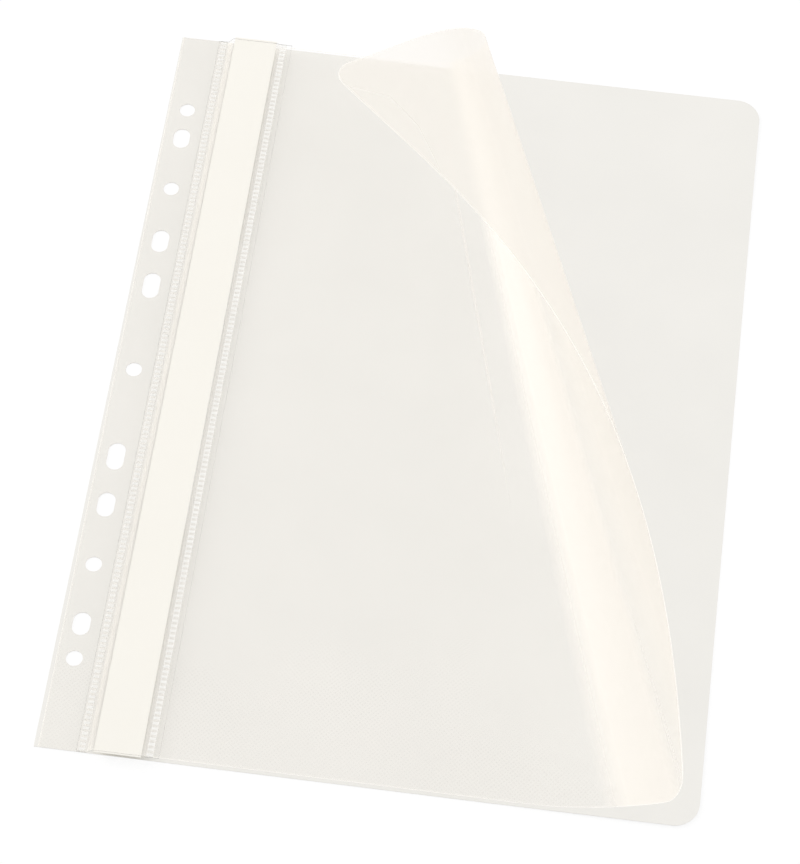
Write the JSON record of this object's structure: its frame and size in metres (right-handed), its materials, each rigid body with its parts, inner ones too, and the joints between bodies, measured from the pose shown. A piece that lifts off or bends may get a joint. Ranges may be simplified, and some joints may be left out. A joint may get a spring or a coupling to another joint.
{
  "type": "report file",
  "caption": "A4 report file with a clear front cover curled open, a perforated filing edge, a spine label in a clear pocket and a prong fastener inside.",
  "frame": {"origin": "the middle of the back cover's underside, on the surface that the file lies on", "axes": "+X from the perforated filing edge to the free edge, +Y up the page along the spine, +Z out of the front cover"},
  "size_m": [0.233, 0.3121, 0.0827],
  "materials": {
    "white_film": "opaque white polypropylene sheet, finely grained, satin",
    "clear_film": "clear polypropylene sheet with a fine embossed linen grain",
    "pocket_film": "clear smooth polypropylene sheet with a frosted ladder weld",
    "label_paper": "uncoated cream-white label paper",
    "white_plastic": "moulded white plastic, satin",
    "prong_steel": "tinned steel strip, bright"
  },
  "bodies": {
    "back": {"back_cover": "white_film", "front_cover_margin": "clear_film", "label_pocket_margin": "pocket_film", "fastener_base": "white_plastic", "prong_strip": "prong_steel", "compressor_bar": "white_plastic"},
    "front": {"front_cover": "clear_film", "label_pocket_side": "pocket_film", "label_pocket": "pocket_film", "label_pocket_seam": "pocket_film"},
    "curl_1": {"front_cover_curl_1": "clear_film"},
    "curl_2": {"front_cover_curl_2": "clear_film"},
    "curl_3": {"front_cover_curl_3": "clear_film"},
    "curl_4": {"front_cover_curl_4": "clear_film"},
    "curl_5": {"front_cover_curl_5": "clear_film"},
    "curl_6": {"front_cover_curl_6": "clear_film"},
    "curl_7": {"front_cover_curl_7": "clear_film"},
    "curl_8": {"front_cover_curl_8": "clear_film"},
    "label": {"label_strip": "label_paper"}
  },
  "joints": [
    {"name": "front_cover_hinge", "type": "hinge", "parent": "back", "child": "front", "pos_m": [-0.0975, 0, 0.0009], "axis": [0, -1, 0], "range_deg": [0, 125]},
    {"name": "front_cover_unroll", "type": "hinge", "parent": "front", "child": "curl_1", "pos_m": [-0.01607, 0.155, 0.00285], "axis": [-0.26, 0.9656, 0], "range_deg": [0, 20.8]},
    {"name": "curl_bend_2", "type": "hinge", "parent": "curl_1", "child": "curl_2", "pos_m": [-0.00774, 0.15485, 0.00589], "axis": [-0.2966, 0.9549, -0.0145], "range_deg": [0, 20.8]},
    {"name": "curl_bend_3", "type": "hinge", "parent": "curl_2", "child": "curl_3", "pos_m": [-0.00094, 0.15428, 0.01154], "axis": [-0.3247, 0.9449, -0.0409], "range_deg": [0, 20.8]},
    {"name": "curl_bend_4", "type": "hinge", "parent": "curl_3", "child": "curl_4", "pos_m": [0.0036, 0.153, 0.01905], "axis": [-0.341, 0.937, -0.0751], "range_deg": [0, 20.8]},
    {"name": "curl_bend_5", "type": "hinge", "parent": "curl_4", "child": "curl_5", "pos_m": [0.00553, 0.15072, 0.02779], "axis": [-0.3442, 0.932, -0.1138], "range_deg": [0, 20.8]},
    {"name": "curl_bend_6", "type": "hinge", "parent": "curl_5", "child": "curl_6", "pos_m": [0.00447, 0.14686, 0.03767], "axis": [-0.3325, 0.9302, -0.1556], "range_deg": [0, 20.8]},
    {"name": "curl_bend_7", "type": "hinge", "parent": "curl_6", "child": "curl_7", "pos_m": [-0.00037, 0.14056, 0.0481], "axis": [-0.3025, 0.9326, -0.1968], "range_deg": [0, 20.8]},
    {"name": "curl_bend_8", "type": "hinge", "parent": "curl_7", "child": "curl_8", "pos_m": [-0.01113, 0.1293, 0.05907], "axis": [-0.2451, 0.9408, -0.2343], "range_deg": [0, 20.8]},
    {"name": "label_strip_slide", "type": "slide", "parent": "front", "child": "label", "axis": [0, 1, 0], "range_m": [0, 0.29]}
  ],
  "couplings": [
    {"joint": "curl_bend_2", "follows": "front_cover_unroll", "ratio": 1},
    {"joint": "curl_bend_3", "follows": "front_cover_unroll", "ratio": 1},
    {"joint": "curl_bend_4", "follows": "front_cover_unroll", "ratio": 1},
    {"joint": "curl_bend_5", "follows": "front_cover_unroll", "ratio": 1},
    {"joint": "curl_bend_6", "follows": "front_cover_unroll", "ratio": 1},
    {"joint": "curl_bend_7", "follows": "front_cover_unroll", "ratio": 1},
    {"joint": "curl_bend_8", "follows": "front_cover_unroll", "ratio": 1}
  ]
}
